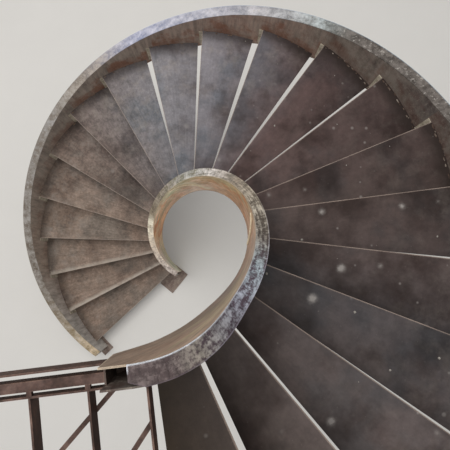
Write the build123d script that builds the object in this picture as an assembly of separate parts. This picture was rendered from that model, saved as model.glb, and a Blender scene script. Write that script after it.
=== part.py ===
from build123d import *
import math
import os

# Steel helical stair with box stringers round an open well, climbing clockwise, millimetres.
# It is laid out about the axis of the well and moved at the end so that its inner foot is the origin.

# Steps
RISER = 170.0
STEP_DEG = 15.4
TREADS = 20
TREAD_THICK = 6.0
FIRST_DEG = 240.0
SEAT = 0.3

# Turn of each nosing from its even place, at its inner and outer end, degrees towards the foot of the flight
NOSING_TURNS = (
    (-2.0, -1.8), (-2.6, -1.9), (-2.5, -1.9), (-0.9, -0.4), (1.1, 0.6), (0.2, 1.0), (0.7, 2.1),
    (0.8, 2.4), (0.2, 1.2), (0.1, 0.5), (-1.2, -0.7), (0.2, -1.5), (-0.3, -2.0), (1.7, -1.1),
    (3.4, -0.5), (-0.5, -0.4), (-0.7, 0.3), (-2.2, 0.8), (-2.0, 1.5), (-1.3, 1.2), (0.0, 0.0),
)

# Plan gap behind each tread at its inner and outer end, less than nothing where it laps under the next
BACK_GAPS = (
    (-15.0, -15.0), (-12.0, -12.0), (-10.0, -10.0), (-8.0, -8.0), (-5.0, -5.0), (-3.0, -3.0), (-2.0, -2.0),
    (-2.0, 46.0), (12.0, 39.0), (15.0, 56.0), (20.0, 47.0), (20.0, 30.0), (-4.0, -4.0), (-4.0, -4.0),
    (-4.0, 19.0), (-4.0, -4.0), (-9.0, 4.0), (-7.0, -4.0), (-10.0, 9.0), (-9.0, 24.0),
)

# Inner stringer round the well, heights over the line of the nosings
WELL_R = 330.0
BOX_WIDTH = 46.0
INNER_TOP = 295.0
INNER_DROP = 230.0
INNER_FOOT = 0.5

# Head of the inner stringer, levels with the drops of its edges under its flat top
LEVEL_OVER_LANDING = 142.0
HEAD_START = 18.25
HEAD_END = 21.65
HEAD_TOP = ((19.2, 92.0), (19.7, 32.0), (20.3, 6.0), (21.0, 0.0))
HEAD_BOTTOM = ((19.3, 637.0), (20.2, 377.0), (21.0, 210.0), (21.65, 127.0))
LID_TAPER = 20.75
LID_END = 21.07
LID_END_WIDTH = 33.0

# Outer stringer, whose top sinks between two levels until it is flush with the landing frame
OUTER_R = 1365.0
OUTER_WIDTH = 60.0
OUTER_TOP = 160.0
OUTER_DROP = 190.0
OUTER_FOOT = 0.85
SINK_START = 10.5
SINK_END = 14.0

# Plate of both boxes
PLATE = 4.0

# Upright flats on the outer box that carry the front corners of the treads
UPRIGHT_WIDTH = 30.0
UPRIGHT_UNDER = 6.0
UPRIGHT_THICK = 5.0

# Landing frame
BAYS = 6
BAY = 115.0
FIRST_BAR = -20.0
FRAME_OVER_LANDING = 101.0
FLAT = 4.0
FLAT_DEPTH = 40.0
EDGE_FLAT_DEPTH = 25.0
TUBE_OFFSET = 17.0
TUBE_WIDTH = 20.0
TUBE_DEPTH = 30.0
TUBE_WALL = 2.5
BRACE = 10.0
BRACE_1_START = 38.0
BRACE_1_SLOPE = 0.92
BRACE_2_START = 84.0
BRACE_2_SLOPE = 1.2

# Feet
FOOT_PLATE = 10.0
INNER_FOOT_LENGTH = 240.0
INNER_FOOT_WIDTH = 160.0
INNER_FOOT_OVERHANG = 10.0
INNER_FOOT_LEVEL = 0.6
OUTER_FOOT_LENGTH = 110.0
OUTER_FOOT_WIDTH = 220.0

# Derived
TREAD_R = WELL_R + BOX_WIDTH
RIM_R = OUTER_R + OUTER_WIDTH
LANDING = TREADS + 1
LANDING_Z = RISER * LANDING
LEVEL_Z = LANDING_Z + LEVEL_OVER_LANDING
FRAME_Z = LANDING_Z + FRAME_OVER_LANDING
JOIST_LOW = FRAME_Z - FLAT_DEPTH
SINK = OUTER_TOP - FRAME_OVER_LANDING
PER_RADIAN = RISER / math.radians(STEP_DEG)
INNER_LID = PLATE / math.cos(math.atan(PER_RADIAN / (WELL_R + BOX_WIDTH / 2)))
OUTER_LID = PLATE / math.cos(math.atan(PER_RADIAN / (OUTER_R + OUTER_WIDTH / 2)))
STRAIGHT = math.radians(STEP_DEG) * (WELL_R + BOX_WIDTH / 2)
HEAD_S = (HEAD_END - LANDING) * STRAIGHT
END_S = FIRST_BAR + BAYS * BAY + FLAT / 2
INNER_FOOT_R = WELL_R - INNER_FOOT_OVERHANG + INNER_FOOT_LENGTH / 2
OUTER_FOOT_LEVEL = (OUTER_FOOT + (OUTER_DROP + FOOT_PLATE) / RISER) / 2


def angle(level):
    """Plan angle of a level, in degrees."""
    return FIRST_DEG - STEP_DEG * level


def strip(r0, r1, low, high, start, end, sink=0.0):
    """Plate between two radii and two heights over the pitch line, sinking from one level to another."""
    mid = (r0 + r1) / 2
    rise = RISER * (end - start) - sink
    path = Helix(rise / (end - start) * 360.0 / STEP_DEG, rise, mid, lefthand=True)
    face = Plane.XZ * Pos(mid, (low + high) / 2) * Rectangle(r1 - r0, high - low)
    solid = sweep(face, path, is_frenet=True)
    return Pos(0, 0, RISER * start) * Rot(0, 0, angle(start)) * solid


def wedge(r0, r1, z0, z1, front, rear):
    """Level plate between two radii, with plan angles for the inner and outer ends of both edges."""
    inner = []
    outer = []
    for f in (0, 0.5, 1):
        a0 = math.radians(front[0] + (rear[0] - front[0]) * f)
        a1 = math.radians(front[1] + (rear[1] - front[1]) * f)
        inner.append((r0 * math.cos(a0), r0 * math.sin(a0)))
        outer.append((r1 * math.cos(a1), r1 * math.sin(a1)))
    edges = [
        ThreePointArc(inner[0], inner[1], inner[2]),
        Line(inner[2], outer[2]),
        ThreePointArc(outer[2], outer[1], outer[0]),
        Line(outer[0], inner[0]),
    ]
    return Pos(0, 0, z0) * extrude(make_face(edges), amount=z1 - z0, dir=(0, 0, 1))


def over(z):
    """Space over a height."""
    return Pos(0, 0, z + LEVEL_Z) * Box(3 * RIM_R, 3 * RIM_R, 2 * LEVEL_Z)


def section(r0, r1, z0, z1, level):
    """Rectangle in the radial plane of a level, or across the straight run past the landing's edge."""
    a = math.radians(angle(min(level, LANDING)))
    s = max(0.0, level - LANDING) * STRAIGHT
    pts = []
    for r, z in ((r0, z0), (r1, z0), (r1, z1), (r0, z1)):
        x = r * math.cos(a) + s * math.sin(a)
        y = r * math.sin(a) - s * math.cos(a)
        pts.append((x, y, z))
    return Wire.make_polygon(pts, close=True)


def head(r0, r1, low, high, levels):
    """Plate with its own edges, through the sections at the given levels."""
    wires = [section(r0, r1(n), low(n), high(n), n) for n in levels]
    return Solid.make_loft(wires, ruled=True)


def head_levels():
    """Levels of the sections that all plates of the inner head share."""
    count = math.ceil((HEAD_END - HEAD_START) * STEP_DEG / 3.0)
    even = [HEAD_START + (HEAD_END - HEAD_START) * i / count for i in range(count + 1)]
    marks = [n for n, drop in HEAD_TOP + HEAD_BOTTOM[:-1]] + [LID_TAPER, LID_END]
    far = [n for n in even if min(abs(n - m) for m in marks) > 0.05]
    return sorted(set(far + marks))


def along(level, start, drops):
    """Height on a smooth line from the start of the head through the given drops under its flat top."""
    points = [(HEAD_START, start)] + [(n, LEVEL_Z - drop) for n, drop in drops]
    rates = [(z1 - z0) / (n1 - n0) for (n0, z0), (n1, z1) in zip(points, points[1:])]
    slopes = [RISER] + [2 * a * b / (a + b) for a, b in zip(rates, rates[1:])] + [rates[-1]]
    for i, ((n0, z0), (n1, z1)) in enumerate(zip(points, points[1:])):
        if level <= n1:
            w = n1 - n0
            t = (level - n0) / w
            rise = (z1 - z0) * t * t * (3 - 2 * t)
            leave = slopes[i] * w * t * (1 - t) ** 2
            meet = slopes[i + 1] * w * t * t * (1 - t)
            return z0 + rise + leave - meet
    return points[-1][1]


def lid(level):
    """Upright thickness of the sloping plates, less as they level out."""
    f = min(1.0, (level - HEAD_START) / (LANDING - HEAD_START))
    return INNER_LID + (PLATE - INNER_LID) * f


def head_high(level):
    """Upper face of the inner top plate over the last levels."""
    return along(level, RISER * HEAD_START + INNER_TOP, HEAD_TOP)


def head_low(level):
    """Lower face of the inner bottom plate over the last levels."""
    return along(level, RISER * HEAD_START - INNER_DROP, HEAD_BOTTOM)


def web_high(level):
    """Upper edge of the inner webs over the last levels."""
    return head_high(level) - lid(level)


def web_low(level):
    """Lower edge of the inner webs over the last levels."""
    return head_low(level) + lid(level)


def lid_edge(level):
    """Outer radius of the inner top plate, which narrows to its end."""
    f = max(0.0, (level - LID_TAPER) / (LID_END - LID_TAPER))
    return TREAD_R + (WELL_R + LID_END_WIDTH - TREAD_R) * f


def inner_web(r0):
    """Side plate of the inner box, ending in the tapered head."""
    low = INNER_LID - INNER_DROP
    high = INNER_TOP - INNER_LID
    run = strip(r0, r0 + PLATE, low, high, INNER_FOOT, HEAD_START) & over(FOOT_PLATE)
    return run + head(r0, lambda n: r0 + PLATE, web_low, web_high, head_levels())


def inner_top():
    """Top plate of the inner box, level over its last length and ending short of the webs."""
    run = strip(WELL_R, TREAD_R, INNER_TOP - INNER_LID, INNER_TOP, INNER_FOOT, HEAD_START)
    levels = [n for n in head_levels() if n <= LID_END]
    return run + head(WELL_R, lid_edge, web_high, head_high, levels)


def inner_bottom():
    """Bottom plate of the inner box, steeper under the head."""
    low = -INNER_DROP
    run = strip(WELL_R, TREAD_R, low, low + INNER_LID, INNER_FOOT, HEAD_START) & over(FOOT_PLATE)
    return run + head(WELL_R, lambda n: TREAD_R, head_low, web_low, head_levels())


def outer_plate(r0, r1, low, high):
    """Plate of the outer box, in three runs between its foot and the landing."""
    foot_run = strip(r0, r1, low, high, OUTER_FOOT, SINK_START) & over(FOOT_PLATE)
    sinking_run = strip(r0, r1, low, high, SINK_START, SINK_END, SINK)
    head_run = strip(r0, r1, low - SINK, high - SINK, SINK_END, LANDING)
    return foot_run + sinking_run + head_run


def on_landing(s0, s1, r0, r1, z0, z1):
    """Straight member of the landing, s past its front edge and r out from the axis."""
    box = Pos((s0 + s1) / 2, (r0 + r1) / 2, (z0 + z1) / 2) * Box(s1 - s0, r1 - r0, z1 - z0)
    return Rot(0, 0, angle(LANDING) - 90) * box


def nosing(n):
    """Plan angles of the inner and outer ends of a nosing."""
    inner, outer = NOSING_TURNS[n - 1]
    return angle(n) + inner, angle(n) + outer


def tread(n):
    """Flat plate from its nosing back to its gap before the next."""
    inner, outer = nosing(n + 1)
    gap_in, gap_out = BACK_GAPS[n - 1]
    rear = (inner + math.degrees(gap_in / TREAD_R), outer + math.degrees(gap_out / OUTER_R))
    top = RISER * n
    return wedge(TREAD_R + SEAT, OUTER_R - SEAT, top - TREAD_THICK, top, nosing(n), rear)


def upright(n):
    """Flat on the outer box, from the height of the tread below to the underside of a tread."""
    r1 = OUTER_R - SEAT
    front = nosing(n)[1] + math.degrees((UPRIGHT_WIDTH - UPRIGHT_UNDER) / OUTER_R)
    rear = nosing(n)[1] - math.degrees(UPRIGHT_UNDER / OUTER_R)
    low = RISER * (n - 1)
    return wedge(r1 - UPRIGHT_THICK, r1, low, RISER * n - TREAD_THICK, (front, front), (rear, rear))


def brace(s, r, slope):
    """Square bar laid under the joists on the slant."""
    run = END_S - s
    long = math.hypot(run, run * slope)
    turn = math.degrees(math.atan(slope))
    bar = Pos(long / 2, 0, JOIST_LOW - BRACE / 2) * Box(long, BRACE, BRACE)
    return Rot(0, 0, angle(LANDING) - 90) * Pos(s, r, 0) * Rot(0, 0, turn) * bar


def foot(length, width, r, level):
    """Base plate on the ground, its length across the stringer."""
    return Rot(0, 0, angle(level)) * Pos(r, 0, FOOT_PLATE / 2) * Box(length, width, FOOT_PLATE)


nodes = {}

for n in range(1, TREADS + 1):
    nodes[f"tread_{n:02d}"] = tread(n)

nodes["inner_stringer_well_web"] = inner_web(WELL_R)
nodes["inner_stringer_tread_web"] = inner_web(TREAD_R - PLATE)
nodes["inner_stringer_top_plate"] = inner_top()
nodes["inner_stringer_bottom_plate"] = inner_bottom()
nodes["inner_stringer_end_plate"] = on_landing(
    HEAD_S - PLATE, HEAD_S, WELL_R + PLATE, TREAD_R - PLATE, web_low(HEAD_END), FRAME_Z
)

low = OUTER_LID - OUTER_DROP
high = OUTER_TOP - OUTER_LID
nodes["outer_stringer_tread_web"] = outer_plate(OUTER_R, OUTER_R + PLATE, low, high)
nodes["outer_stringer_rim_web"] = outer_plate(RIM_R - PLATE, RIM_R, low, high)
nodes["outer_stringer_top_plate"] = outer_plate(OUTER_R, RIM_R, high, OUTER_TOP)
nodes["outer_stringer_bottom_plate"] = outer_plate(OUTER_R, RIM_R, -OUTER_DROP, low)

nodes["outer_tread_uprights"] = Compound([upright(n) for n in range(2, TREADS + 1)])
nodes["inner_foot_plate"] = foot(INNER_FOOT_LENGTH, INNER_FOOT_WIDTH, INNER_FOOT_R, INNER_FOOT_LEVEL)
nodes["outer_foot_plate"] = foot(
    OUTER_FOOT_LENGTH, OUTER_FOOT_WIDTH, OUTER_R + OUTER_WIDTH / 2, OUTER_FOOT_LEVEL
)

tube_r = WELL_R + TUBE_OFFSET
edge_r = TREAD_R + FLAT
nodes["landing_well_flat"] = on_landing(HEAD_S, END_S, WELL_R, WELL_R + FLAT, JOIST_LOW, FRAME_Z)
nodes["landing_edge_flat"] = on_landing(
    FIRST_BAR - FLAT / 2, END_S, TREAD_R, edge_r, FRAME_Z - EDGE_FLAT_DEPTH, FRAME_Z
)
outside = on_landing(HEAD_S, END_S, tube_r, tube_r + TUBE_WIDTH, FRAME_Z - TUBE_DEPTH, FRAME_Z)
inside = on_landing(
    HEAD_S - PLATE, END_S + PLATE, tube_r + TUBE_WALL, tube_r + TUBE_WIDTH - TUBE_WALL,
    FRAME_Z - TUBE_DEPTH + TUBE_WALL, FRAME_Z - TUBE_WALL
)
nodes["landing_edge_tube"] = outside - inside
nodes["landing_outer_flat"] = on_landing(0, END_S, OUTER_R, OUTER_R + FLAT, JOIST_LOW, FRAME_Z)

joists = []
spacers = []
for i in range(BAYS + 1):
    s = FIRST_BAR + i * BAY
    joists.append(on_landing(s - FLAT / 2, s + FLAT / 2, edge_r, OUTER_R - SEAT, JOIST_LOW, FRAME_Z))
    if s > HEAD_S and i < BAYS:
        r0 = tube_r + TUBE_WIDTH
        spacers.append(on_landing(s - BRACE / 2, s + BRACE / 2, r0, TREAD_R, FRAME_Z - BRACE, FRAME_Z))
nodes["landing_joists"] = Compound(joists)
nodes["landing_spacers"] = Compound(spacers)
beside = on_landing(0, END_S, 0, TREAD_R, JOIST_LOW - 2 * BRACE, FRAME_Z)
before = on_landing(2 * FIRST_BAR, FIRST_BAR, TREAD_R, OUTER_R, JOIST_LOW - 2 * BRACE, FRAME_Z)
nodes["landing_braces"] = Compound([
    brace(BRACE_1_START, TREAD_R, BRACE_1_SLOPE) - beside,
    brace(FIRST_BAR, TREAD_R + BRACE_2_START, BRACE_2_SLOPE) - before,
])

turn = math.radians(angle(INNER_FOOT_LEVEL))
origin = Pos(-INNER_FOOT_R * math.cos(turn), -INNER_FOOT_R * math.sin(turn), 0)

os.makedirs("parts", exist_ok=True)
for name, shape in nodes.items():
    export_step(origin * shape, f"parts/{name}.step")
    print(name, round(shape.volume), shape.is_valid, len(shape.solids()))
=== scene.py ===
import math
import random
from collections import namedtuple

import bmesh
import bpy
from mathutils import Matrix, Vector, noise


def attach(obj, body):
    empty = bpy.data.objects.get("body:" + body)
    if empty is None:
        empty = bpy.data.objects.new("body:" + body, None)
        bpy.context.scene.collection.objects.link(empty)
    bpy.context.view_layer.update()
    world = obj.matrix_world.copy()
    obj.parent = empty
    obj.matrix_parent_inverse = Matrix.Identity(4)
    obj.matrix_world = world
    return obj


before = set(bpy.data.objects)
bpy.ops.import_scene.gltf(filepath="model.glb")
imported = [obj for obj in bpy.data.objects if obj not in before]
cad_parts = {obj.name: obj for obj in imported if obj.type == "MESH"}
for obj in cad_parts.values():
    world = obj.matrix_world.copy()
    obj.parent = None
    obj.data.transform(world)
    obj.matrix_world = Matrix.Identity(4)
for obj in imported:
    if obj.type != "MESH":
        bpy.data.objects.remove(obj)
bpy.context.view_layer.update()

bl_info = {
    "name": "Helical stair finish",
    "version": (1, 0, 0),
    "blender": (4, 5, 0),
    "location": "View3D > Sidebar > Stair",
    "description": "Finishes, welds, mortar and stage for a steel helical stair with box stringers",
    "category": "Object",
}

# Lengths are in metres. A level counts the steps from the foot: the nosing of tread n lies at level n.
RISER = 0.17  # rise of a step
STEP = math.radians(15.4)  # turn of a step
FIRST = math.radians(240.0)  # direction from the well's axis to level nought
WELL_R = 0.330  # well web, from the axis
TREAD_R = 0.376  # inner ends of the treads
OUTER_R = 1.365  # outer ends of the treads
INNER_TOP = 0.295  # top of the inner box over the nosings
TREAD_PLATE = 0.006  # thickness of a tread

SPAN = 24.0  # levels that a ramp by level covers
NOISE_LOW, NOISE_HIGH = 0.37, 0.63  # nearly all of a noise lies between these

# Stitch welds
FRONT_ROOM = 0.012  # free of weld at a tread's front
BACK_ROOM = 0.008  # free of weld at its back
STRAY = 0.012  # farthest that a stitch strays onto the plate
STITCH_RING = 0.003  # between the rings of a stitch
CLOSE_LEVEL = 12  # the stitches stand closer above this level
CLOSE_SHARE = 0.35  # share of the usual gap left there

# Seams of the well web
SEAM_RING = 0.008  # between the rings of a seam
OFF_FACETS = 0.004  # the seams stand this far off the true curve, clear of the web's flat facets
# Levels, and how far under the box's top the seam lies there
LOWER_SEAM = ((8.1, 0.012), (9.2, 0.10), (10.2, 0.24), (11.0, 0.41))
UPPER_SEAM = ((15.06, 0.04), (15.5, 0.14), (16.0, 0.29), (16.5, 0.469))

# Floor and lamp, from the foot of the well's axis
FLOOR_HALF = 30.0
LAMP_SPOT = (-1.5, 1.2, 8.0)
LAMP_AIM = 1.5  # height on the axis
LAMP_SIZE = 5.0

UP = Vector((0.0, 0.0, 1.0))

TREADS = sorted(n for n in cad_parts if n.startswith("tread_"))
WELL_WEB = ["inner_stringer_well_web"]
INNER_CAP = ["inner_stringer_top_plate"]
OUTER_CAP = ["outer_stringer_top_plate"]
BOX_WEBS = [
    "inner_stringer_tread_web", "inner_stringer_bottom_plate", "inner_stringer_end_plate",
    "outer_stringer_tread_web", "outer_stringer_rim_web", "outer_stringer_bottom_plate",
]
UPRIGHTS = ["outer_tread_uprights"]
LANDING = sorted(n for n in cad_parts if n.startswith("landing_"))
FEET = ["inner_foot_plate", "outer_foot_plate"]

# Sockets that say where the surface lies
Place = namedtuple("Place", "point x y z level radius over")


def linear(code):
    """sRGB hex code as linear red, green, blue and alpha."""
    out = []
    for i in (1, 3, 5):
        c = int(code[i:i + 2], 16) / 255
        out.append(c / 12.92 if c <= 0.04045 else ((c + 0.055) / 1.055) ** 2.4)
    return (*out, 1.0)


def add(tree, kind, inputs=None, out=0, stops=None, **settings):
    """Adds a node with its settings and stops, fills or links its inputs, and gives back one output."""
    node = tree.nodes.new("ShaderNode" + kind)
    for key, value in settings.items():
        setattr(node, key, value)
    for key, value in (inputs or {}).items():
        if isinstance(value, bpy.types.NodeSocket):
            tree.links.new(value, node.inputs[key])
        else:
            node.inputs[key].default_value = linear(value) if isinstance(value, str) else value
    if stops:
        ramp = node.color_ramp
        while len(ramp.elements) < len(stops):
            ramp.elements.new(1.0)
        for element, (spot, value) in zip(ramp.elements, stops):
            element.position = spot
            element.color = linear(value) if isinstance(value, str) else (value, value, value, 1.0)
    return node.outputs[out] if len(node.outputs) else node


def blank_material(name):
    """New material with an empty tree."""
    mat = bpy.data.materials.new(name)
    mat.use_nodes = True
    mat.node_tree.nodes.clear()
    return mat, mat.node_tree


def paint(nodes, mat):
    """Gives CAD nodes a material."""
    for name in nodes:
        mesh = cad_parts[name].data
        mesh.materials.clear()
        mesh.materials.append(mat)


def close(tree, colour, rough, height, deep, metallic=0.0):
    """Ends a finish with its shader, its relief of the given depth and its output.

    Dust and rust leave hardly any gloss, hence the low specular level."""
    relief = add(tree, "Bump", {"Height": height, "Distance": deep, "Strength": 1.0})
    shader = add(tree, "BsdfPrincipled", {
        "Base Color": colour, "Roughness": rough, "Normal": relief, "Metallic": metallic,
        "Specular IOR Level": 0.2})
    add(tree, "OutputMaterial", {"Surface": shader})


def place(tree, stair):
    """Where the surface lies, its distance from the axis and its rise over the nosing line."""
    point = add(tree, "TexCoord", out="Object")
    local = add(tree, "VectorMath", {0: point, 1: (stair.axis_x, stair.axis_y, 0.0)}, operation="SUBTRACT")
    x, y, z = add(tree, "SeparateXYZ", {0: local}).node.outputs
    turn = add(tree, "Math", {0: y, 1: x}, operation="ARCTAN2")
    left = add(tree, "Math", {0: FIRST, 1: turn}, operation="SUBTRACT")
    wrapped = add(tree, "Math", {0: left, 1: math.tau}, operation="MODULO")
    level = add(tree, "Math", {0: wrapped, 1: STEP}, operation="DIVIDE")
    plan = add(tree, "CombineXYZ", {0: x, 1: y})
    radius = add(tree, "VectorMath", {0: plan}, out=1, operation="LENGTH")
    over = add(tree, "Math", {0: level, 1: -RISER, 2: z}, operation="MULTIPLY_ADD")
    return Place(point, x, y, z, level, radius, over)


# The colours given by level hold painted light and shade along with dirt, paint and rust: lighter where light
# fell on the stair, darker where it lay in shade
def by_level(tree, where, tones):
    """Colours or amounts given at levels, run together between them."""
    share = add(tree, "Math", {0: where.level, 1: SPAN}, operation="DIVIDE")
    return add(tree, "ValToRGB", {0: share}, stops=[(n / SPAN, tone) for n, tone in tones])


def shade(tree, colour, pattern, spread, much=1.0):
    """Darkens and lightens a colour by a noise, up to the spread times the amount."""
    tone = add(tree, "MapRange", {
        "Value": pattern, "From Min": NOISE_LOW, "From Max": NOISE_HIGH, "To Min": -spread, "To Max": spread})
    tone = add(tree, "Math", {0: tone, 1: much, 2: 1.0}, operation="MULTIPLY_ADD")
    return add(tree, "VectorMath", {0: colour, 1: tone}, operation="MULTIPLY")


def layer(tree, colour, cover, *shares):
    """Covers a colour with another, as thickly as the product of the shares."""
    share, *others = shares
    for other in others:
        share = add(tree, "Math", {0: share, 1: other}, operation="MULTIPLY")
    return add(tree, "Mix", {0: share, 6: colour, 7: cover}, out=2, data_type="RGBA")


def stain(tree, colour, tint, *shares):
    """Tints a colour through, as strongly as the product of the shares."""
    glass = layer(tree, "#ffffff", tint, *shares)
    return add(tree, "VectorMath", {0: colour, 1: glass}, operation="MULTIPLY")


def worn_edges(tree, width):
    """How near an edge the surface is, by how far its rounded normal leans, from nothing to one."""
    soft = add(tree, "Bevel", {"Radius": width}, samples=6)
    true = add(tree, "NewGeometry", out="True Normal")
    same = add(tree, "VectorMath", {0: soft, 1: true}, out=1, operation="DOT_PRODUCT")
    return add(tree, "MapRange", {"Value": same, "From Min": 0.98, "From Max": 0.80})


def front_edges(tree, where, width):
    """How near a nosing's front edge the surface is, by how far its rounded normal leans ahead."""
    back = add(tree, "Math", {0: where.y, 1: -1.0}, operation="MULTIPLY")
    ahead = add(tree, "CombineXYZ", {0: back, 1: where.x})
    ahead = add(tree, "VectorMath", {0: ahead}, operation="NORMALIZE")
    soft = add(tree, "Bevel", {"Radius": width}, samples=6)
    lean = add(tree, "VectorMath", {0: soft, 1: ahead}, out=1, operation="DOT_PRODUCT")
    return add(tree, "MapRange", {"Value": lean, "From Min": 0.08, "From Max": 0.40})


def upward(tree):
    """How far the surface faces up, from minus one to one."""
    normal = add(tree, "NewGeometry", out="Normal")
    return add(tree, "SeparateXYZ", {0: normal}, out=2)


# The scale of a noise is 1000 over the width of its patches in millimetres


def plate_tones(tree, where, shift, other):
    """Broad tones of the treads: by level, with painted sheen and shade among them, by tread end, and in rust
    and scale patches some 300 mm across.
    """
    # By level, partly dirt and partly painted light: a grey painted sheen on treads 8 to 11, painted shade
    # from tread 12 up, darkest as a painted shadow at the head
    colour = by_level(tree, where, [
        (1.0, "#7c6a5d"), (4.8, "#857365"), (6.8, "#655851"), (8.8, "#737072"), (10.2, "#716d70"),
        (12.3, "#503f3c"), (15.0, "#473b37"), (16.2, "#4b403d"), (17.2, "#403b3b"), (18.6, "#544a47"),
        (21.0, "#2b2116")])
    # Paler towards the outer box where the amount is over a half, towards the inner one where it is under
    ends = add(tree, "MapRange", {
        "Value": where.radius, "From Min": 0.5, "From Max": 1.2, "To Min": -1.0, "To Max": 1.0})
    much = by_level(tree, where, [
        (3.4, 0.5), (4.5, 0.2), (5.5, 0.5), (7.4, 0.68), (11.0, 0.72), (13.0, 0.15), (14.5, 0.25),
        (16.5, 0.35), (18.0, 0.8)])
    much = add(tree, "Math", {0: much, 1: 0.6, 2: -0.3}, operation="MULTIPLY_ADD")
    ends = add(tree, "Math", {0: ends, 1: much, 2: 1.0}, operation="MULTIPLY_ADD")
    colour = add(tree, "VectorMath", {0: colour, 1: ends}, operation="MULTIPLY")
    # Red-brown where the scale has rusted through
    broad = add(tree, "TexNoise", {
        "Vector": where.point, "W": shift, "Scale": 3.4, "Detail": 5.0, "Roughness": 0.6},
        noise_dimensions="4D")
    wide = add(tree, "MapRange", {
        "Value": broad, "From Min": 0.35, "From Max": 0.65, "To Min": 1.12, "To Max": 0.88})
    colour = add(tree, "VectorMath", {0: colour, 1: wide}, operation="MULTIPLY")
    red = add(tree, "MapRange", {"Value": broad, "From Min": 0.48, "From Max": 0.64})
    much = by_level(tree, where, [(1.0, 0.35), (6.0, 0.5), (9.0, 0.7), (12.0, 0.9)])
    colour = stain(tree, colour, "#a8968f", red, much)
    # Blue-grey where the scale is whole
    cool = add(tree, "TexNoise", {
        "Vector": where.point, "W": other, "Scale": 2.8, "Detail": 4.0, "Roughness": 0.6},
        noise_dimensions="4D")
    blue = add(tree, "MapRange", {"Value": cool, "From Min": 0.50, "From Max": 0.60})
    return stain(tree, colour, "#e0e9ee", blue)


def cement_spots(tree, where, shift, other, ragged):
    """Shares of cement on upper faces: hazy splashes of 15 to 35 mm and drips of 5 to 15 mm."""
    moved = add(tree, "CombineXYZ", {0: shift, 1: other})
    moved = add(tree, "VectorMath", {0: where.point, 1: moved}, operation="ADD")
    # A ragged splash in three of ten cells 180 mm wide
    cells = add(tree, "TexVoronoi", {"Vector": moved, "Scale": 5.5}, voronoi_dimensions="2D").node.outputs
    pick = add(tree, "SeparateXYZ", {0: cells["Color"]}, out=0)
    reach = add(tree, "MapRange", {
        "Value": pick, "From Min": 0.7, "From Max": 1.0, "To Min": -0.05, "To Max": 0.09})
    wobble = add(tree, "Math", {0: ragged, 1: 0.16, 2: -0.08}, operation="MULTIPLY_ADD")
    far = add(tree, "Math", {0: cells["Distance"], 1: wobble}, operation="ADD")
    inside = add(tree, "Math", {0: reach, 1: far}, operation="SUBTRACT")
    splash = add(tree, "MapRange", {"Value": inside, "From Min": -0.10, "From Max": 0.03, "To Max": 0.9})
    splash = add(tree, "Math", {0: splash, 1: 3.0}, operation="POWER")
    # A drip in one of six cells 77 mm wide
    cells = add(tree, "TexVoronoi", {"Vector": moved, "Scale": 13.0}, voronoi_dimensions="2D").node.outputs
    pick = add(tree, "SeparateXYZ", {0: cells["Color"]}, out=1)
    reach = add(tree, "MapRange", {
        "Value": pick, "From Min": 0.84, "From Max": 1.0, "To Min": -0.02, "To Max": 0.09})
    inside = add(tree, "Math", {0: reach, 1: cells["Distance"]}, operation="SUBTRACT")
    drip = add(tree, "MapRange", {"Value": inside, "From Min": -0.05, "From Max": 0.03, "To Max": 0.4})
    spots = add(tree, "Math", {0: splash, 1: drip}, operation="MAXIMUM")
    much = by_level(tree, where, [
        (0.0, 0.4), (6.0, 0.3), (12.0, 0.4), (14.0, 0.9), (18.0, 0.8), (21.0, 0.3)])
    spots = add(tree, "Math", {0: spots, 1: much}, operation="MULTIPLY")
    upper = add(tree, "MapRange", {"Value": upward(tree), "From Min": 0.0, "From Max": 0.3})
    return add(tree, "Math", {0: spots, 1: upper}, operation="MULTIPLY")


def dusty_nosings(tree, where, number, dust):
    """Shares of the broken band of dust, up to 36 mm broad, along the nosings of treads two and three."""
    # Both nosings lie 0.14 of a step late
    late = add(tree, "Math", {0: number, 1: 0.14}, operation="ADD")
    behind = add(tree, "Math", {0: where.level, 1: late}, operation="SUBTRACT")
    behind = add(tree, "Math", {0: behind, 1: STEP}, operation="MULTIPLY")
    behind = add(tree, "Math", {0: behind, 1: where.radius}, operation="MULTIPLY")
    brow = add(tree, "MapRange", {"Value": behind, "From Min": 0.036, "From Max": 0.010})
    torn = add(tree, "MapRange", {
        "Value": dust, "From Min": 0.36, "From Max": 0.52, "To Min": 0.25, "To Max": 1.0})
    much = by_level(tree, where, [(1.95, 0.0), (2.08, 0.85), (2.6, 0.6), (3.4, 0.6), (3.8, 0.0)])
    return brow, torn, much


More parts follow.
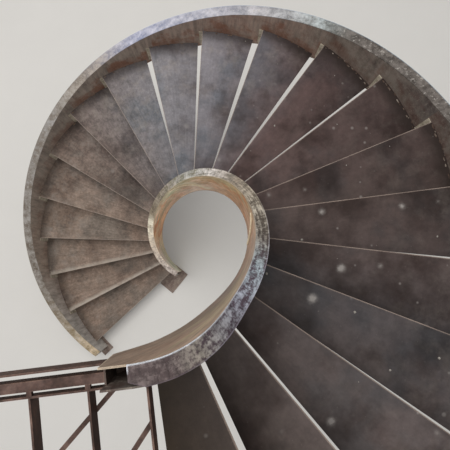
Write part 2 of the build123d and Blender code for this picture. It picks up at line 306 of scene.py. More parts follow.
def mill_scale_plate(stair):
    """Hot-rolled plate, its blue-black scale trodden and rusting: brown-grey, blotched, dusty at its ends,
    with painted sheen, shade and nosing highlights.
    """
    mat, tree = blank_material("mill_scale_plate")
    where = place(tree, stair)
    number = add(tree, "Math", {0: where.z, 1: RISER}, operation="DIVIDE")
    number = add(tree, "Math", {0: number}, operation="ROUND")
    # Each tread has patterns of its own
    shift = add(tree, "Math", {0: number, 1: 4.7}, operation="MULTIPLY")
    other = add(tree, "Math", {0: shift, 1: 31.0}, operation="ADD")
    colour = plate_tones(tree, where, shift, other)
    # Dark and light clouds, 30 to 80 mm across
    cloud = add(tree, "TexNoise", {
        "Vector": where.point, "W": shift, "Scale": 22.0, "Detail": 7.0, "Roughness": 0.7},
        noise_dimensions="4D")
    much = by_level(tree, where, [
        (1.0, 0.85), (4.5, 0.85), (5.5, 1.0), (8.0, 1.0), (8.9, 0.75), (10.0, 0.55), (12.0, 0.6),
        (16.0, 0.5), (20.5, 0.5)])
    colour = shade(tree, colour, cloud, 0.26, much)
    # Marks of feet and brooms along the tread, some 13 mm broad and 130 mm long
    across = add(tree, "Math", {0: where.level, 1: 0.24}, operation="MULTIPLY")
    length = add(tree, "Math", {0: where.radius, 1: 0.10}, operation="MULTIPLY")
    sweep = add(tree, "CombineXYZ", {0: across, 1: length, 2: number})
    marks = add(tree, "TexNoise", {"Vector": sweep, "Scale": 75.0, "Detail": 4.0, "Roughness": 0.6})
    colour = shade(tree, colour, marks, 0.14, by_level(tree, where, [(7.0, 1.0), (11.0, 0.3)]))
    # The grain of rust is finer than a millimetre and is drawn as a mottle of 5 to 20 mm, so that it shows
    fine = add(tree, "TexNoise", {"Vector": where.point, "Scale": 60.0, "Detail": 7.0, "Roughness": 0.8})
    colour = shade(tree, colour, fine, 0.24, by_level(tree, where, [(7.0, 1.0), (9.0, 0.7), (12.0, 0.25)]))
    # Dust, thick towards the outer box, in broken drifts up to 90 mm across
    dust = add(tree, "TexNoise", {
        "Vector": where.point, "W": other, "Scale": 11.0, "Detail": 8.0, "Roughness": 0.72},
        noise_dimensions="4D")
    dusty = add(tree, "MapRange", {"Value": dust, "From Min": 0.48, "From Max": 0.68})
    ends = add(tree, "MapRange", {
        "Value": where.radius, "From Min": 0.75, "From Max": 1.25, "To Min": 0.25, "To Max": 0.75})
    much = by_level(tree, where, [
        (0.0, 0.5), (7.0, 0.8), (8.0, 0.9), (9.5, 0.6), (12.3, 0.14), (17.5, 0.16), (20.0, 0.08)])
    colour = layer(tree, colour, stair.dust, dusty, ends, much)
    # Grime and painted shade in the corner at the outer box
    near = add(tree, "Math", {0: cloud, 1: 0.12, 2: where.radius}, operation="MULTIPLY_ADD")
    grime_and_shade = add(tree, "MapRange", {
        "Value": near, "From Min": OUTER_R - 0.020, "From Max": OUTER_R + 0.035})
    much = by_level(tree, where, [(1.0, 0.3), (7.0, 0.45), (11.0, 0.6), (12.0, 0.9)])
    colour = layer(tree, colour, stair.grime_and_shade, grime_and_shade, much)
    spots = cement_spots(tree, where, shift, other, fine)
    colour = layer(tree, colour, stair.cement, spots)
    colour = layer(tree, colour, "#b3a99c", *dusty_nosings(tree, where, number, dust))
    # Nosing edge, worn by treading and dusted, with a painted highlight where it catches the light
    edge = front_edges(tree, where, 0.008)
    broken = add(tree, "MapRange", {
        "Value": dust, "From Min": 0.3, "From Max": 0.6, "To Min": 0.5, "To Max": 1.0})
    worn_edge_and_highlight = by_level(tree, where, [(1.0, "#a5988b"), (8.0, "#a39488"), (12.0, "#9e8e82"), (20.0, "#8f7f73")])
    colour = layer(tree, colour, worn_edge_and_highlight, edge, broken)
    rough = add(tree, "MapRange", {"Value": dust, "To Min": 0.45, "To Max": 0.8})
    relief = add(tree, "Math", {0: fine, 1: 0.4, 2: spots}, operation="MULTIPLY_ADD")
    close(tree, colour, rough, relief, deep=0.001, metallic=0.1)
    return mat


def near_lower_seam(tree, where):
    """How near the lower seam of the well web the surface is, from nothing to 0.8."""
    # A ramp holds nothing under zero, so heights from 0.2 m under the nosings to 0.3 m over them are packed
    under, tall = 0.2, 0.5
    line = by_level(tree, where, [(n, (INNER_TOP - down + under) / tall) for n, down in LOWER_SEAM])
    line = add(tree, "Math", {0: line, 1: -tall, 2: under}, operation="MULTIPLY_ADD")
    off = add(tree, "Math", {0: where.over, 1: line}, operation="ADD")
    off = add(tree, "Math", {0: off}, operation="ABSOLUTE")
    return add(tree, "MapRange", {"Value": off, "From Min": 0.070, "From Max": 0.030, "To Max": 0.8})


def oxide_primer_web(stair):
    """Web plate brushed along with red-oxide primer and left out: orange patches, grey wash, long strokes."""
    mat, tree = blank_material("oxide_primer_web")
    where = place(tree, stair)
    colour = by_level(tree, where, [
        (0.6, "#ecdfd2"), (2.5, "#c8b9ae"), (4.5, "#d8ac82"), (6.0, "#e5cbb1"), (8.5, "#cbcba5"),
        (10.5, "#c1a682"), (13.0, "#bba880"), (14.5, "#a89172"), (16.5, "#a28e7f"), (21.0, "#8f7866")])
    grey = by_level(tree, where, [
        (2.0, "#b6b59a"), (6.0, "#cd9e78"), (10.0, "#d0b9a6"), (13.0, "#b48f6f"), (16.0, "#a68975"),
        (18.5, "#786b63"), (20.0, "#7a695b")])
    # Wash and dirt in strokes along the run, some 80 mm broad and 350 mm long, thickest low on the web
    along = add(tree, "Math", {0: where.level, 1: 0.045}, operation="MULTIPLY")
    runs = add(tree, "CombineXYZ", {0: along, 1: where.over, 2: where.radius})
    streak = add(tree, "TexNoise", {"Vector": runs, "Scale": 12.0, "Detail": 7.0, "Roughness": 0.72})
    low = add(tree, "MapRange", {"Value": where.over, "From Min": 0.26, "From Max": -0.05})
    wash = add(tree, "Math", {0: streak, 1: 3.0, 2: -1.5}, operation="MULTIPLY_ADD")
    wash = add(tree, "Math", {0: wash, 1: low}, operation="ADD")
    wash = add(tree, "MapRange", {"Value": wash, "From Min": 0.15, "From Max": 0.75})
    colour = layer(tree, colour, grey, wash)
    # Primer left in patches up to 125 mm across
    broad = add(tree, "TexNoise", {"Vector": where.point, "Scale": 8.0, "Detail": 7.0, "Roughness": 0.7})
    patch = add(tree, "MapRange", {"Value": broad, "From Min": 0.50, "From Max": 0.62})
    much = by_level(tree, where, [
        (0.0, 0.1), (3.0, 0.3), (4.5, 0.8), (6.5, 0.75), (8.5, 0.35), (12.5, 0.5), (14.0, 0.95),
        (15.3, 0.2), (19.0, 0.05)])
    colour = layer(tree, colour, stair.primer, patch, much)
    # Green-grey damp in longer strokes, 125 mm broad
    damp = add(tree, "TexNoise", {"Vector": runs, "Scale": 8.0, "Detail": 4.0, "Roughness": 0.6})
    damp = add(tree, "MapRange", {"Value": damp, "From Min": 0.50, "From Max": 0.62})
    much = by_level(tree, where, [
        (1.0, 0.6), (4.0, 0.2), (7.5, 0.8), (9.0, 0.6), (10.5, 0.1), (16.0, 0.1), (18.0, 0.5)])
    colour = layer(tree, colour, "#948d70", damp, much)
    colour = shade(tree, colour, streak, 0.30)
    # Brush marks are finer than 2 mm and are drawn 18 mm broad, so that they show
    fine = add(tree, "TexNoise", {"Vector": runs, "Scale": 55.0, "Detail": 6.0, "Roughness": 0.75})
    colour = shade(tree, colour, fine, 0.24)
    # Ground and filled strip along the lower seam
    much = by_level(tree, where, [(7.9, 0.0), (8.2, 1.0), (11.2, 1.0), (11.6, 0.0)])
    colour = layer(tree, colour, "#d5c9ae", near_lower_seam(tree, where), much)
    colour = layer(tree, colour, "#bcae98", worn_edges(tree, 0.006))
    rough = add(tree, "MapRange", {"Value": streak, "To Min": 0.55, "To Max": 0.85})
    close(tree, colour, rough, fine, deep=0.0008)
    return mat


def chipped_paint_cap(stair):
    """Cap plate, brush-painted cream low down and bare higher up: chipped, mottled, scratched at its head."""
    mat, tree = blank_material("chipped_paint_cap")
    where = place(tree, stair)
    pale = by_level(tree, where, [
        (1.2, "#e8dbcf"), (3.5, "#ead7c1"), (5.3, "#faf0d8"), (6.0, "#9a8d78"), (8.0, "#a29689"),
        (10.0, "#b7b5ae"), (11.5, "#d0c8c1"), (13.0, "#978979"), (14.8, "#bbb1a0"), (16.3, "#90897f"),
        (17.3, "#a3afb4"), (18.4, "#a3a5b0"), (19.6, "#8c847a"), (20.2, "#5d5250")])
    dark = by_level(tree, where, [
        (1.5, "#a28f86"), (4.5, "#c1b198"), (6.2, "#746657"), (9.0, "#7d7a64"), (12.0, "#80786d"),
        (14.0, "#6f6558"), (16.0, "#473f38"), (17.3, "#51454c"), (18.6, "#4d4049"), (20.2, "#423736")])
    # Chips and drips that run down the slope, some 25 mm broad and 90 mm long, with specks of 9 mm
    along = add(tree, "Math", {0: where.level, 1: 0.055}, operation="MULTIPLY")
    slope = add(tree, "CombineXYZ", {0: along, 1: where.radius})
    patch = add(tree, "TexNoise", {"Vector": slope, "Scale": 38.0, "Detail": 7.0, "Roughness": 0.68})
    speck = add(tree, "TexNoise", {"Vector": where.point, "Scale": 110.0, "Detail": 4.0, "Roughness": 0.7})
    both = add(tree, "Math", {0: speck, 1: 0.6, 2: patch}, operation="MULTIPLY_ADD")
    # Brush marks, 1 to 2 mm broad in truth and drawn 7 mm broad so that they show, clearest half way up
    thin = add(tree, "VectorMath", {0: slope, 1: (0.16, 1.0, 1.0)}, operation="MULTIPLY")
    thin = add(tree, "TexNoise", {"Vector": thin, "Scale": 150.0, "Detail": 3.0, "Roughness": 0.6})
    thin = add(tree, "MapRange", {"Value": thin, "To Min": -0.4, "To Max": 0.4})
    much = by_level(tree, where, [
        (2.0, 0.4), (10.0, 0.4), (12.5, 1.0), (16.0, 1.0), (17.0, 0.4), (20.0, 0.1)])
    both = add(tree, "Math", {0: thin, 1: much, 2: both}, operation="MULTIPLY_ADD")
    limit = by_level(tree, where, [
        (1.0, 0.76), (5.0, 0.70), (7.0, 0.78), (12.0, 0.76), (15.0, 0.82), (18.0, 0.80)])
    bare = add(tree, "Math", {0: limit, 1: both}, operation="SUBTRACT")
    bare = add(tree, "MapRange", {"Value": bare, "From Min": -0.08, "From Max": 0.08})
    colour = layer(tree, pale, dark, bare)
    # Streaks across the plate, some 20 mm broad
    along = add(tree, "Math", {0: where.level, 1: 0.095}, operation="MULTIPLY")
    width = add(tree, "Math", {0: where.radius, 1: 0.25}, operation="MULTIPLY")
    lines = add(tree, "CombineXYZ", {0: along, 1: width})
    cross = add(tree, "TexNoise", {"Vector": lines, "Scale": 90.0, "Detail": 5.0, "Roughness": 0.65})
    colour = shade(tree, colour, cross, 0.28)
    # Rust along the well side low down and a pale worn arris high up; along the tread side a painted shadow
    # line, pale instead at levels 16 to 19
    edge = worn_edges(tree, 0.007)
    inner = add(tree, "MapRange", {
        "Value": where.radius, "From Min": WELL_R + 0.020, "From Max": WELL_R + 0.010})
    arris = by_level(tree, where, [
        (1.0, "#c9b48c"), (4.5, "#cda070"), (6.0, "#cdb88e"), (9.0, "#cbba94"), (14.0, "#b9a68e"),
        (17.0, "#b4b2ae"), (19.5, "#dfe3e8")])
    colour = layer(tree, colour, arris, edge, inner)
    outer = add(tree, "MapRange", {
        "Value": where.radius, "From Min": WELL_R + 0.025, "From Max": WELL_R + 0.036, "To Max": 0.7})
    rim = by_level(tree, where, [
        (3.0, "#6a6055"), (14.5, "#544c44"), (16.5, "#b5b0bb"), (19.0, "#a19ca6"), (20.0, "#5a5056")])
    colour = layer(tree, colour, rim, edge, outer)
    rough = add(tree, "MapRange", {"Value": patch, "To Min": 0.45, "To Max": 0.8})
    close(tree, colour, rough, bare, deep=0.0012)
    return mat


def weathered_rim_cap(stair):
    """Cap plate of the outer box, bleached and dusty where the sky reaches it, bare and brown higher up."""
    mat, tree = blank_material("weathered_rim_cap")
    where = place(tree, stair)
    pale = by_level(tree, where, [
        (1.0, "#d7c2a5"), (1.6, "#b8ac9a"), (2.4, "#979088"), (6.5, "#989591"), (7.9, "#b9ad9f"),
        (8.6, "#c2c1cd"), (11.0, "#bebabb"), (11.9, "#b0b7b6"), (12.3, "#726b65"), (20.0, "#69615b")])
    dark = by_level(tree, where, [
        (1.2, "#8e7c5e"), (3.0, "#5f5448"), (7.5, "#7b7167"), (8.8, "#888ca1"), (11.0, "#898789"),
        (12.0, "#5e5f5b"), (12.5, "#403a35")])
    # Bare patches up to 50 mm across, longer up and down, and crumbs of dust drawn 17 mm across to show
    slope = add(tree, "VectorMath", {0: where.point, 1: (1.0, 1.0, 0.6)}, operation="MULTIPLY")
    patch = add(tree, "TexNoise", {"Vector": slope, "Scale": 20.0, "Detail": 8.0, "Roughness": 0.75})
    bare = add(tree, "MapRange", {"Value": patch, "From Min": 0.62, "From Max": 0.40})
    colour = layer(tree, pale, dark, bare)
    crumbs = add(tree, "TexNoise", {"Vector": where.point, "Scale": 60.0, "Detail": 4.0, "Roughness": 0.7})
    crumbs = add(tree, "MapRange", {"Value": crumbs, "From Min": 0.57, "From Max": 0.66, "To Max": 0.55})
    colour = layer(tree, colour, "#bab4ab", crumbs)
    # Worn outer arris
    outer = add(tree, "MapRange", {
        "Value": where.radius, "From Min": OUTER_R + 0.035, "From Max": OUTER_R + 0.055})
    rim = by_level(tree, where, [
        (1.0, "#a1957d"), (7.0, "#8d8782"), (9.0, "#b9bccb"), (12.0, "#8494a0"), (20.0, "#74808a")])
    colour = layer(tree, colour, rim, worn_edges(tree, 0.009), outer)
    rough = add(tree, "MapRange", {"Value": patch, "To Min": 0.5, "To Max": 0.8})
    close(tree, colour, rough, patch, deep=0.0012)
    return mat


def streaked_rust_web(stair):
    """Bare web plate rusting in the weather: brown runs, orange bands at the treads, pale worn edges."""
    mat, tree = blank_material("streaked_rust_web")
    where = place(tree, stair)
    colour = by_level(tree, where, [
        (1.0, "#b1aca6"), (2.0, "#aea7a0"), (3.5, "#928174"), (6.0, "#867b72"), (8.0, "#8a7d73"),
        (11.0, "#937b6f"), (12.3, "#6b5f57"), (14.0, "#4e4643"), (20.0, "#453f3c")])
    # Runs down the web, some 35 mm broad on the outer box and 220 mm long
    length = add(tree, "Math", {0: where.level, 1: 0.36}, operation="MULTIPLY")
    drop = add(tree, "Math", {0: where.z, 1: 0.15}, operation="MULTIPLY")
    runs = add(tree, "CombineXYZ", {0: length, 1: where.radius, 2: drop})
    streak = add(tree, "TexNoise", {"Vector": runs, "Scale": 30.0, "Detail": 6.0, "Roughness": 0.7})
    colour = shade(tree, colour, streak, 0.38)
    # A rusty band where the wet stands on each tread, under a dusty upper part, in patches up to 110 mm
    broad = add(tree, "TexNoise", {"Vector": where.point, "Scale": 9.0, "Detail": 7.0, "Roughness": 0.7})
    step = add(tree, "Math", {0: where.level}, operation="FLOOR")
    height = add(tree, "Math", {0: step, 1: -RISER, 2: where.z}, operation="MULTIPLY_ADD")
    low = add(tree, "MapRange", {
        "Value": height, "From Min": 0.03, "From Max": 0.20, "To Min": 0.10, "To Max": -0.14})
    rust = add(tree, "Math", {0: broad, 1: low}, operation="ADD")
    rust = add(tree, "MapRange", {"Value": rust, "From Min": 0.44, "From Max": 0.62})
    much = by_level(tree, where, [
        (2.0, 0.1), (6.0, 0.3), (7.6, 0.7), (11.5, 0.6), (12.5, 0.2), (20.0, 0.15)])
    colour = layer(tree, colour, stair.rust, rust, much)
    pale = add(tree, "MapRange", {"Value": broad, "From Min": 0.60, "From Max": 0.38, "To Max": 0.32})
    colour = layer(tree, colour, "#a3988a", pale)
    # Dust is finer than a millimetre and is drawn in specks of 12 mm, so that it shows
    fine = add(tree, "TexNoise", {"Vector": where.point, "Scale": 80.0, "Detail": 5.0, "Roughness": 0.7})
    dust = add(tree, "MapRange", {"Value": fine, "From Min": 0.56, "From Max": 0.68, "To Max": 0.4})
    colour = layer(tree, colour, "#a3998b", dust)
    worn = by_level(tree, where, [(11.0, "#978a78"), (14.0, "#6b5f55"), (18.0, "#54473f")])
    colour = layer(tree, colour, worn, worn_edges(tree, 0.006), 0.6)
    rough = add(tree, "MapRange", {"Value": streak, "To Min": 0.6, "To Max": 0.9})
    close(tree, colour, rough, fine, deep=0.001)
    return mat


def red_lead_bar():
    """Flats, tube and bars in thin red-lead primer: dark red-brown, dusty and with painted light on top,
    rusty at their edges.
    """
    mat, tree = blank_material("red_lead_bar")
    point = add(tree, "TexCoord", out="Object")
    # Blotches up to 80 mm across, and the primer's grain drawn 9 mm across so that it shows
    broad = add(tree, "TexNoise", {"Vector": point, "Scale": 12.0, "Detail": 7.0, "Roughness": 0.7})
    colour = add(tree, "ValToRGB", {0: broad}, stops=[(0.32, "#33261f"), (0.5, "#433029"), (0.68, "#5a4338")])
    fine = add(tree, "TexNoise", {"Vector": point, "Scale": 110.0, "Detail": 5.0, "Roughness": 0.7})
    colour = shade(tree, colour, fine, 0.25)
    # Lighter on upper faces: dust, and painted light where the tops catch it
    top = add(tree, "MapRange", {"Value": upward(tree), "From Min": 0.3, "From Max": 1.0, "To Max": 0.4})
    lies = add(tree, "MapRange", {"Value": broad, "From Min": 0.42, "From Max": 0.62})
    colour = layer(tree, colour, "#6f5d56", top, lies)
    colour = layer(tree, colour, "#86695a", worn_edges(tree, 0.003), lies)
    rough = add(tree, "MapRange", {"Value": fine, "To Min": 0.5, "To Max": 0.8})
    close(tree, colour, rough, fine, deep=0.0006)
    return mat


def speckled(name, tones, speckle, grain, deep):
    """Small rough pieces: tones run together by a noise of the given scale, with specks a fifth as wide."""
    mat, tree = blank_material(name)
    point = add(tree, "TexCoord", out="Object")
    broad = add(tree, "TexNoise", {"Vector": point, "Scale": grain, "Detail": 6.0, "Roughness": 0.7})
    colour = add(tree, "ValToRGB", {0: broad}, stops=list(zip((0.3, 0.5, 0.7), tones)))
    fine = add(tree, "TexNoise", {"Vector": point, "Scale": 5.0 * grain, "Detail": 4.0, "Roughness": 0.7})
    specks = add(tree, "MapRange", {"Value": fine, "From Min": 0.55, "From Max": 0.68, "To Max": 0.7})
    colour = layer(tree, colour, speckle, specks)
    rough = add(tree, "MapRange", {"Value": fine, "To Min": 0.45, "To Max": 0.85})
    close(tree, colour, rough, fine, deep)
    return mat


def pale_flat():
    """Steel flats, pale grey-brown in 40 mm patches, with paler specks of 8 mm."""
    return speckled("pale_flat", ("#7a7060", "#a09684", "#beb4a2"), "#cfc6b8", grain=25.0, deep=0.001)


def dirty_foot_plate():
    """Plate in red lead with dirt trodden in: brown in 33 mm patches, with pale grit drawn 7 mm wide."""
    return speckled("dirty_foot_plate", ("#5f4d45", "#7c6b61", "#978a7d"), "#b3a99c", grain=30.0, deep=0.0008)


def ground_seam():
    """Weld ground back and filled: pale in 40 mm patches, with rust coming through in specks of 8 mm."""
    return speckled("ground_seam", ("#b5a184", "#d3c3a6", "#e6dac2"), "#b58a5e", grain=25.0, deep=0.0008)


def mortar():
    """Cement mortar dropped and dried: grey in 8 mm patches, with darker sand grains of 2 mm."""
    return speckled("mortar", ("#6d6760", "#8b857d", "#a69f96"), "#5f5a54", grain=120.0, deep=0.0008)


def stitch_weld(stair):
    """Stick weld left unground: rusty brown low down, caked pale with slag and mortar dust higher up."""
    mat, tree = blank_material("stitch_weld")
    where = place(tree, stair)
    # Cakes up to 45 mm long, and the slag's grain of a millimetre drawn 11 mm wide so that it shows
    grain = add(tree, "TexNoise", {"Vector": where.point, "Scale": 90.0, "Detail": 6.0, "Roughness": 0.7})
    cakes = add(tree, "TexNoise", {"Vector": where.point, "Scale": 22.0, "Detail": 4.0, "Roughness": 0.7})
    colour = by_level(tree, where, [(1.0, "#6f6458"), (7.0, "#5f4c3e"), (11.3, "#4f3d32"), (20.0, "#3b312b")])
    pale = by_level(tree, where, [
        (1.0, "#a3978a"), (7.0, "#7d6a5a"), (11.3, "#75604f"), (12.1, "#8d8377"), (20.0, "#80766b")])
    caked = add(tree, "MapRange", {"Value": cakes, "From Min": 0.48, "From Max": 0.64})
    colour = layer(tree, colour, pale, caked)
    colour = shade(tree, colour, grain, 0.3)
    rough = add(tree, "MapRange", {"Value": grain, "To Min": 0.45, "To Max": 0.8})
    close(tree, colour, rough, grain, deep=0.001)
    return mat


def pale_screed(tint):
    """Floated concrete screed: pale, matt and hardly clouded, in patches some 300 mm across."""
    mat, tree = blank_material("pale_screed")
    point = add(tree, "TexCoord", out="Object")
    grain = add(tree, "TexNoise", {"Vector": point, "Scale": 3.0, "Detail": 8.0, "Roughness": 0.6})
    tone = add(tree, "MapRange", {"Value": grain, "To Min": 0.97, "To Max": 1.03})
    colour = add(tree, "VectorMath", {0: tint, 1: tone}, operation="MULTIPLY")
    close(tree, colour, 0.9, grain, deep=0.0005)
    return mat


def put(name, bm, mat):
    """Turns mesh data into a piece that stands with the stair, smooth shaded."""
    mesh = bpy.data.meshes.new(name)
    bmesh.ops.recalc_face_normals(bm, faces=bm.faces)
    bm.to_mesh(mesh)
    bm.free()
    mesh.materials.append(mat)
    for face in mesh.polygons:
        face.use_smooth = True
    piece = bpy.data.objects.new(name, mesh)
    bpy.context.scene.collection.objects.link(piece)
    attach(piece, "root")


def run_bead(bm, path, width, flat, ripple, rng):
    """Weld bead along points with side and face directions: an oval rope with ripples and narrow ends."""
    sides = 8
    end, growth = 0.45, 0.3  # width at the ends, and what each ring adds to it
    wave = 1.9  # turn of the ripple from ring to ring
    rings = []
    last = len(path) - 1
    for i, (point, side, face) in enumerate(path):
        swell = min(1.0, end + growth * i, end + growth * (last - i))
        half = width / 2 * swell * (1 + ripple * math.sin(i * wave) + rng.uniform(-ripple, ripple))
        ring = []
        for k in range(sides):
            a = math.tau * k / sides
            spot = point + side * (half * math.cos(a)) + face * (half * flat * math.sin(a))
            ring.append(bm.verts.new(spot))
        rings.append(ring)
    for one, two in zip(rings, rings[1:]):
        for k in range(sides):
            bm.faces.new((one[k], one[(k + 1) % sides], two[(k + 1) % sides], two[k]))
    bm.faces.new(rings[0])
    bm.faces.new(rings[-1])


def polar(stair, level, radius, z):
    """Point at a level, a distance from the well's axis and a height, with the direction out."""
    a = FIRST - STEP * level
    out = Vector((math.cos(a), math.sin(a), 0.0))
    return Vector((stair.axis_x, stair.axis_y, z)) + radius * out, out


def tread_levels(stair, name, radius):
    """Levels of a tread's front and back at one of its ends."""
    slack = 0.003  # how far its corners may lie off the radius
    levels = []
    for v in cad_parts[name].data.vertices:
        x, y = v.co.x - stair.axis_x, v.co.y - stair.axis_y
        if abs(math.hypot(x, y) - radius) < slack:
            levels.append((FIRST - math.atan2(y, x)) % math.tau / STEP)
    return min(levels), max(levels)


def tread_top(name):
    """Height of a tread's upper face."""
    return max(v.co.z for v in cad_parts[name].data.vertices)


def tint_setting(name, description, code):
    """Colour that a user may change, given as an sRGB hex code."""
    return bpy.props.FloatVectorProperty(
        name=name, description=description, size=4, subtype="COLOR", min=0.0, max=1.0, default=linear(code))


class StairSettings(bpy.types.PropertyGroup):
    """Where the stair's axis stands, and the colours of its paint and dirt and of a painted shade."""

    axis_x: bpy.props.FloatProperty(
        name="Axis X", description="Well axis from the foot", default=0.278331, unit="LENGTH")
    axis_y: bpy.props.FloatProperty(
        name="Axis Y", description="Well axis from the foot", default=0.340781, unit="LENGTH")
    dust: tint_setting("Dust", "Dust on the treads", "#9c9288")
    cement: tint_setting("Cement", "Cement splashed on the treads", "#a09a94")
    # The grime tint is also the painted shade in the treads' corners at the outer box
    grime_and_shade: tint_setting("Grime", "Grime in the corners of the treads", "#2e2521")
    primer: tint_setting("Primer", "Patches of primer on the well web", "#b86f40")
    rust: tint_setting("Rust", "Bands of rust on the other webs", "#7d4d35")


class WeldSettings(bpy.types.PropertyGroup):
    """Stitch welds at the ends of the treads and the seams of the well web."""

    outer_width: bpy.props.FloatProperty(
        name="Outer bead", description="Width of the beads on the outer box", default=0.010, unit="LENGTH")
    inner_width: bpy.props.FloatProperty(
        name="Inner bead", description="Width of the beads on the inner box", default=0.009, unit="LENGTH")
    longest: bpy.props.FloatProperty(
        name="Longest stitch", description="Length of the longest stitch", default=0.030, unit="LENGTH")
    gap: bpy.props.FloatProperty(
        name="Gap", description="Usual gap between stitches", default=0.030, unit="LENGTH")
    seam_width: bpy.props.FloatProperty(
        name="Seam", description="Width of the seams between lengths of web", default=0.016, unit="LENGTH")
    seed: bpy.props.IntProperty(
        name="Seed", description="Changes the stitches", default=7, subtype="UNSIGNED")


class MortarSettings(bpy.types.PropertyGroup):
    """Lumps of mortar dropped on the treads."""

    count: bpy.props.IntProperty(
        name="Lumps", description="How many lumps", default=30, min=1, subtype="UNSIGNED")
    busiest: bpy.props.IntProperty(
        name="Busiest tread", description="Tread with the most lumps", default=15, min=0, subtype="UNSIGNED")
    smallest: bpy.props.FloatProperty(
        name="Smallest", description="Width of the smallest lump", default=0.003, unit="LENGTH")
    largest: bpy.props.FloatProperty(
        name="Largest", description="Width of the largest lump", default=0.012, unit="LENGTH")
    seed: bpy.props.IntProperty(
        name="Seed", description="Changes where they lie", default=11, subtype="UNSIGNED")


class StageSettings(bpy.types.PropertyGroup):
    """Camera, floor and light."""

    camera: bpy.props.FloatVectorProperty(
        name="Camera", description="From the foot of the well's axis", size=3,
        default=(0.212424, -0.129628, 4.569055), subtype="TRANSLATION", unit="LENGTH")
    lens: bpy.props.FloatProperty(
        name="Lens", description="Focal length in mm on a 36 mm sensor", default=36.0, unit="CAMERA")
    tilt: bpy.props.FloatVectorProperty(
        name="Tilt", description="Turn away from straight down: its axis, as long as its angle", size=3,
        default=(-0.0724387, -0.0051326, -0.0038223), subtype="XYZ", unit="ROTATION")
    floor: bpy.props.FloatVectorProperty(
        name="Floor", description="Colour of the floor", size=3, subtype="COLOR",
        default=linear("#d9d6d0")[:3])
    sky: bpy.props.FloatProperty(name="Sky", description="Strength of the even light", default=0.62, min=0.0)
    lamp: bpy.props.FloatProperty(
        name="Lamp", description="Power of the softbox", default=330.0, min=0.0, unit="POWER")


class STAIR_OT_treads(bpy.types.Operator):
    """Gives the treads their trodden mill scale"""

    bl_idname = "stair.treads"
    bl_label = "Finish the treads"

    def execute(self, context):
        paint(TREADS, mill_scale_plate(context.scene.stair_settings))
        return {"FINISHED"}


class STAIR_OT_boxes(bpy.types.Operator):
    """Gives both box stringers their primer, paint, rust and dust"""

    bl_idname = "stair.boxes"
    bl_label = "Finish the stringers"

    def execute(self, context):
        stair = context.scene.stair_settings
        paint(WELL_WEB, oxide_primer_web(stair))
        paint(INNER_CAP, chipped_paint_cap(stair))
        paint(OUTER_CAP, weathered_rim_cap(stair))
        paint(BOX_WEBS, streaked_rust_web(stair))
        paint(UPRIGHTS, pale_flat())
        return {"FINISHED"}


class STAIR_OT_landing(bpy.types.Operator):
    """Gives the landing frame and the foot plates their dark primer"""

    bl_idname = "stair.landing"
    bl_label = "Finish the landing and feet"

    def execute(self, context):
        paint(LANDING, red_lead_bar())
        paint(FEET, dirty_foot_plate())
        return {"FINISHED"}


class STAIR_OT_welds(bpy.types.Operator):
    """Lays stitch welds where the treads meet the boxes, over and under each tread"""

    bl_idname = "stair.welds"
    bl_label = "Weld the treads"

    def execute(self, context):
        stair = context.scene.stair_settings
        weld = context.scene.stair_welds
        rng = random.Random(weld.seed)
        mat = stitch_weld(stair)
        for label, radius, width, inward in (
                ("outer_tread_welds", OUTER_R, weld.outer_width, -1),
                ("inner_tread_welds", TREAD_R, weld.inner_width, 1)):
            bm = bmesh.new()
            for name in TREADS:
                self.stitch(bm, stair, weld, name, radius, width, inward, rng)
            put(label, bm, mat)
        return {"FINISHED"}

    def stitch(self, bm, stair, weld, name, radius, width, inward, rng):
        """Stitches over and under one end of a tread, of uneven lengths and gaps."""
        front, back = tread_levels(stair, name, radius)
        top = tread_top(name)
        arc = radius * STEP  # metres to a level
        closeness = CLOSE_SHARE if front > CLOSE_LEVEL else 1.0
        for z, face in ((top, UP), (top - TREAD_PLATE, -UP)):
            at = front + FRONT_ROOM / arc
            while True:
                length = rng.uniform(0.2, 1.0) * weld.longest
                strays = inward * rng.uniform(0.0, STRAY)
                after = at + length / arc
                if after > back - BACK_ROOM / arc:
                    break
                count = max(3, round(length / STITCH_RING))
                path = []
                for i in range(count + 1):
                    point, out = polar(stair, at + (after - at) * i / count, radius + strays, z)
                    path.append((point, out, face))
                run_bead(bm, path, width * rng.uniform(0.6, 1.0), flat=0.7, ripple=0.15, rng=rng)
                at = after + rng.uniform(0.1, 2.4) ** 1.5 * closeness * weld.gap / arc


class STAIR_OT_seams(bpy.types.Operator):
    """Lays the two seams that join the lengths of the well web"""

    bl_idname = "stair.seams"
    bl_label = "Seam the well web"

    def execute(self, context):
        stair = context.scene.stair_settings
        weld = context.scene.stair_welds
        rng = random.Random(weld.seed + 1)
        mat = ground_seam()
        bm = bmesh.new()
        for seam in (LOWER_SEAM, UPPER_SEAM):
            path = []
            for (n0, down0), (n1, down1) in zip(seam, seam[1:]):
                run, rise = (n1 - n0) * STEP * WELL_R, RISER * (n1 - n0) - (down1 - down0)
                steps = max(2, round(math.hypot(run, rise) / SEAM_RING))
                for i in range(steps):
                    f = i / steps
                    n, down = n0 + (n1 - n0) * f, down0 + (down1 - down0) * f
                    point, out = polar(stair, n, WELL_R - OFF_FACETS, RISER * n + INNER_TOP - down)
                    path.append((point, UP, -out))
            run_bead(bm, path, weld.seam_width, flat=0.6, ripple=0.08, rng=rng)
        put("well_web_seams", bm, mat)
        return {"FINISHED"}


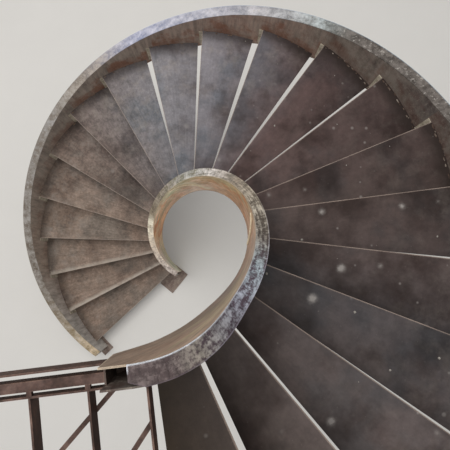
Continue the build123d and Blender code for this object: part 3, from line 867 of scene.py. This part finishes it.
class STAIR_OT_mortar(bpy.types.Operator):
    """Drops small lumps of mortar on the treads"""

    bl_idname = "stair.mortar"
    bl_label = "Drop mortar"

    def execute(self, context):
        stair = context.scene.stair_settings
        settings = context.scene.stair_mortar
        rng = random.Random(settings.seed)
        bm = bmesh.new()
        for _ in range(settings.count):
            tread = int(rng.triangular(0, len(TREADS), settings.busiest))
            name = TREADS[min(len(TREADS) - 1, tread)]
            middle = self.spot(stair, name, rng)
            width = settings.smallest + (settings.largest - settings.smallest) * rng.random() ** 3
            self.lump(bm, middle, width, rng)
        put("mortar_lumps", bm, mortar())
        return {"FINISHED"}

    def spot(self, stair, name, rng):
        """Place on a tread, clear of its edges and of the next tread, more often towards the outer box."""
        inner_room, outer_room = 0.03, 0.02
        front_room, back_room = 0.08, 0.12  # in steps
        near = tread_levels(stair, name, TREAD_R)
        far = tread_levels(stair, name, OUTER_R)
        length = OUTER_R - TREAD_R
        radius = TREAD_R + inner_room + (length - inner_room - outer_room) * rng.random() ** 0.55
        share = (radius - TREAD_R) / length
        front, back = (one + (two - one) * share for one, two in zip(near, far))
        front, back = front + front_room, back - back_room
        return polar(stair, front + (back - front) * rng.random(), radius, tread_top(name))[0]

    def lump(self, bm, middle, width, rng):
        """Rough flattened lump that sits on the plate."""
        flat, bulging, sunk = 0.55, 0.45, 0.0004
        knobs = 1.6  # bulges to a width
        made = bmesh.ops.create_icosphere(bm, subdivisions=2, radius=width / 2)["verts"]
        start = Vector((rng.uniform(-9, 9), rng.uniform(-9, 9), rng.uniform(-9, 9)))
        for v in made:
            bulge = 1 + bulging * noise.noise(v.co * (knobs / width) + start)
            v.co = middle + Vector((v.co.x * bulge, v.co.y * bulge, max(-sunk, v.co.z * flat * bulge)))


class STAIR_OT_stage(bpy.types.Operator):
    """Sets the floor, the soft light and the camera"""

    bl_idname = "stair.stage"
    bl_label = "Set the stage"

    def execute(self, context):
        scene = context.scene
        self.floor(scene)
        self.light(scene)
        self.camera(scene)
        scene.view_settings.view_transform = "Standard"
        return {"FINISHED"}

    def floor(self, scene):
        """Wide flat floor at ground level."""
        half = FLOOR_HALF
        mesh = bpy.data.meshes.new("floor")
        corners = [(-half, -half, 0), (half, -half, 0), (half, half, 0), (-half, half, 0)]
        mesh.from_pydata(corners, [], [(0, 1, 2, 3)])
        mesh.materials.append(pale_screed(tuple(scene.stair_stage.floor)))
        floor = bpy.data.objects.new("floor", mesh)
        scene.collection.objects.link(floor)

    def light(self, scene):
        """Even sky, and a softbox over one side of the stair."""
        stair, stage = scene.stair_settings, scene.stair_stage
        world = bpy.data.worlds.new("soft_sky")
        scene.world = world
        world.use_nodes = True
        sky = world.node_tree.nodes["Background"]
        sky.inputs["Color"].default_value = linear("#f2f2f4")
        sky.inputs["Strength"].default_value = stage.sky
        lamp = bpy.data.lights.new("softbox", "AREA")
        lamp.energy = stage.lamp
        lamp.size = LAMP_SIZE
        light = bpy.data.objects.new("softbox", lamp)
        x, y, z = LAMP_SPOT
        light.location = (stair.axis_x + x, stair.axis_y + y, z)
        aim = Vector((stair.axis_x, stair.axis_y, LAMP_AIM)) - light.location
        light.rotation_euler = aim.to_track_quat("-Z", "Y").to_euler()
        scene.collection.objects.link(light)

    def camera(self, scene):
        """Camera high over the well, nearly straight down."""
        stair, stage = scene.stair_settings, scene.stair_stage
        lens = bpy.data.cameras.new("camera")
        lens.lens = stage.lens
        lens.sensor_width = 36
        lens.clip_start = 0.01
        turn = Vector(stage.tilt)
        down = Matrix(((1, 0, 0), (0, -1, 0), (0, 0, -1)))
        seen = Matrix.Rotation(turn.length, 3, turn.normalized()) @ down
        back = Matrix((seen[0], -seen[1], -seen[2])).transposed()
        x, y, z = stage.camera
        camera = bpy.data.objects.new("camera", lens)
        camera.matrix_world = Matrix.Translation((stair.axis_x + x, stair.axis_y + y, z)) @ back.to_4x4()
        scene.collection.objects.link(camera)
        scene.camera = camera


class STAIR_PT_panel(bpy.types.Panel):
    """Lists the steps in their order"""

    bl_idname = "STAIR_PT_panel"
    bl_label = "Stair"
    bl_space_type = "VIEW_3D"
    bl_region_type = "UI"
    bl_category = "Stair"

    def draw(self, context):
        for step in STEPS:
            self.layout.operator(step.bl_idname)


GROUPS = {
    "stair_settings": StairSettings,
    "stair_welds": WeldSettings,
    "stair_mortar": MortarSettings,
    "stair_stage": StageSettings,
}
STEPS = (
    STAIR_OT_treads, STAIR_OT_boxes, STAIR_OT_landing, STAIR_OT_welds, STAIR_OT_seams, STAIR_OT_mortar,
    STAIR_OT_stage)


def register():
    """Registers the classes and hangs the settings on the scene."""
    for cls in (*GROUPS.values(), *STEPS, STAIR_PT_panel):
        bpy.utils.register_class(cls)
    for name, cls in GROUPS.items():
        setattr(bpy.types.Scene, name, bpy.props.PointerProperty(type=cls))


def unregister():
    """Takes the settings and the classes off again."""
    for name in GROUPS:
        delattr(bpy.types.Scene, name)
    for cls in reversed((*GROUPS.values(), *STEPS, STAIR_PT_panel)):
        bpy.utils.unregister_class(cls)


def main():
    """Dresses the stair."""
    register()
    bpy.ops.stair.treads()
    bpy.ops.stair.boxes()
    bpy.ops.stair.landing()
    bpy.ops.stair.welds()
    bpy.ops.stair.seams()
    bpy.ops.stair.mortar()
    bpy.ops.stair.stage()


if __name__ == "__main__":
    main()
